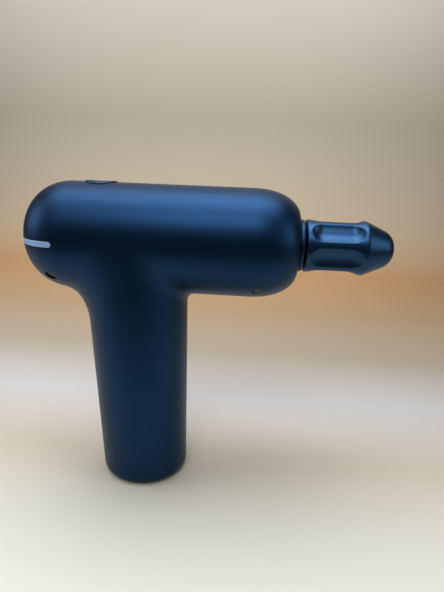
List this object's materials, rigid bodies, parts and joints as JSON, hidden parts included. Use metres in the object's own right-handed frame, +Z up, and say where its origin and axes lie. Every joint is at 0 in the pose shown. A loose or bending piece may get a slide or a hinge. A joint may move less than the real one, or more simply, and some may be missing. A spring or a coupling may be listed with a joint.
{
  "type": "massage gun",
  "caption": "Cordless percussion massage gun with a round barrel on an upright handle, a light bar, a power button and a fluted pull-off head.",
  "frame": {"origin": "centre of the foot pad's flat face, on which the object stands", "axes": "+X along the barrel towards the massage head, +Z up the handle, +Y to the left of someone looking along +X"},
  "size_m": [0.1697, 0.05, 0.1465],
  "materials": {
    "soft_navy": "soft-touch paint, near-black navy with a broad sheen",
    "black_plastic": "fine moulded matte",
    "grey_plastic": "moulded matte",
    "white_plastic": "machined acetal, satin",
    "red_plastic": "moulded gloss",
    "black_rubber": "moulded rubber, matte",
    "light_guide": "milky light guide, smooth",
    "circuit_board": "green solder mask, satin",
    "bright_steel": "machined bright steel",
    "lamination_steel": "dark coated steel",
    "cast_alloy": "machined cast alloy, satin",
    "bronze": "sintered bronze",
    "copper_wire": "enamelled copper winding",
    "anodised_blue": "satin anodised, dark blue",
    "cell_wrap": "shrink sleeve over a steel cell",
    "red_wire": "insulated lead",
    "yellow_wire": "insulated lead",
    "black_wire": "insulated lead"
  },
  "bodies": {
    "housing": {"right_shell": "soft_navy", "left_shell": "soft_navy", "nose_ring": "black_plastic", "wiper_seal": "black_rubber", "light_bar": "light_guide", "led_board": "circuit_board", "charge_bezel": "black_plastic", "charge_socket": "bright_steel", "charge_tongue": "black_plastic", "charge_board": "circuit_board", "foot_pad": "black_rubber", "foot_plate": "grey_plastic", "foot_screws": "bright_steel", "screw_plugs": "black_rubber", "nose_screws": "bright_steel", "guide_block": "cast_alloy", "guide_bushes": "bronze", "guide_screws": "bright_steel", "motor_plate": "cast_alloy", "motor_screws": "bright_steel", "motor_base": "cast_alloy", "stator_core": "lamination_steel", "stator_windings": "copper_wire", "bearing_outer_rings": "bright_steel", "tact_switch": "grey_plastic", "main_board": "circuit_board", "board_parts": "black_plastic", "board_screws": "bright_steel", "battery_cells": "cell_wrap", "lower_cell_cap": "grey_plastic", "upper_cell_cap": "grey_plastic", "nickel_strips": "bright_steel", "battery_board": "circuit_board", "battery_leads": "red_wire", "motor_leads": "yellow_wire", "charge_leads": "black_wire"},
    "crank": {"bearing_inner_rings": "bright_steel", "rotor_can": "bright_steel", "rotor_magnets": "lamination_steel", "motor_shaft": "bright_steel", "crank_wheel": "bronze", "crank_pin": "bright_steel"},
    "bearing_balls": {"bearing_balls": "bright_steel"},
    "yoke_roller": {"yoke_roller": "bright_steel"},
    "piston": {"yoke": "white_plastic", "piston_rod": "cast_alloy", "yoke_pin": "bright_steel"},
    "massage_head": {"massage_head": "anodised_blue", "head_stem": "black_plastic", "stem_o_rings": "black_rubber"},
    "power_button": {"power_button": "soft_navy"},
    "switch_plunger": {"switch_plunger": "red_plastic"}
  },
  "joints": [
    {"name": "crank_turn", "type": "hinge", "parent": "housing", "child": "crank", "pos_m": [-0.00385, 0, 0.1], "axis": [0, 0, 1], "range_deg": [0, 180]},
    {"name": "ball_orbit", "type": "hinge", "parent": "housing", "child": "bearing_balls", "pos_m": [-0.00385, 0, 0.1], "axis": [0, 0, 1], "range_deg": [0, 72]},
    {"name": "roller_spin", "type": "hinge", "parent": "crank", "child": "yoke_roller", "pos_m": [-0.00736, 0, 0.121], "axis": [0, 0, 1], "continuous": true},
    {"name": "piston_stroke", "type": "slide", "parent": "housing", "child": "piston", "axis": [1, 0, 0], "range_m": [0, 0.00701]},
    {"name": "head_pull_off", "type": "slide", "parent": "piston", "child": "massage_head", "axis": [1, 0, 0], "range_m": [0, 0.024]},
    {"name": "button_press", "type": "slide", "parent": "housing", "child": "power_button", "axis": [0, 0, -1], "range_m": [0, 0.0005], "stiffness_N_per_m": 800},
    {"name": "plunger_press", "type": "slide", "parent": "housing", "child": "switch_plunger", "axis": [0, 0, -1], "range_m": [0, 0.0005]}
  ],
  "couplings": [
    {"joint": "piston_stroke", "follows": "crank_turn", "m_per_rad": 0.0022282},
    {"joint": "ball_orbit", "follows": "crank_turn", "ratio": 0.3933},
    {"joint": "plunger_press", "follows": "button_press", "ratio": 1}
  ]
}
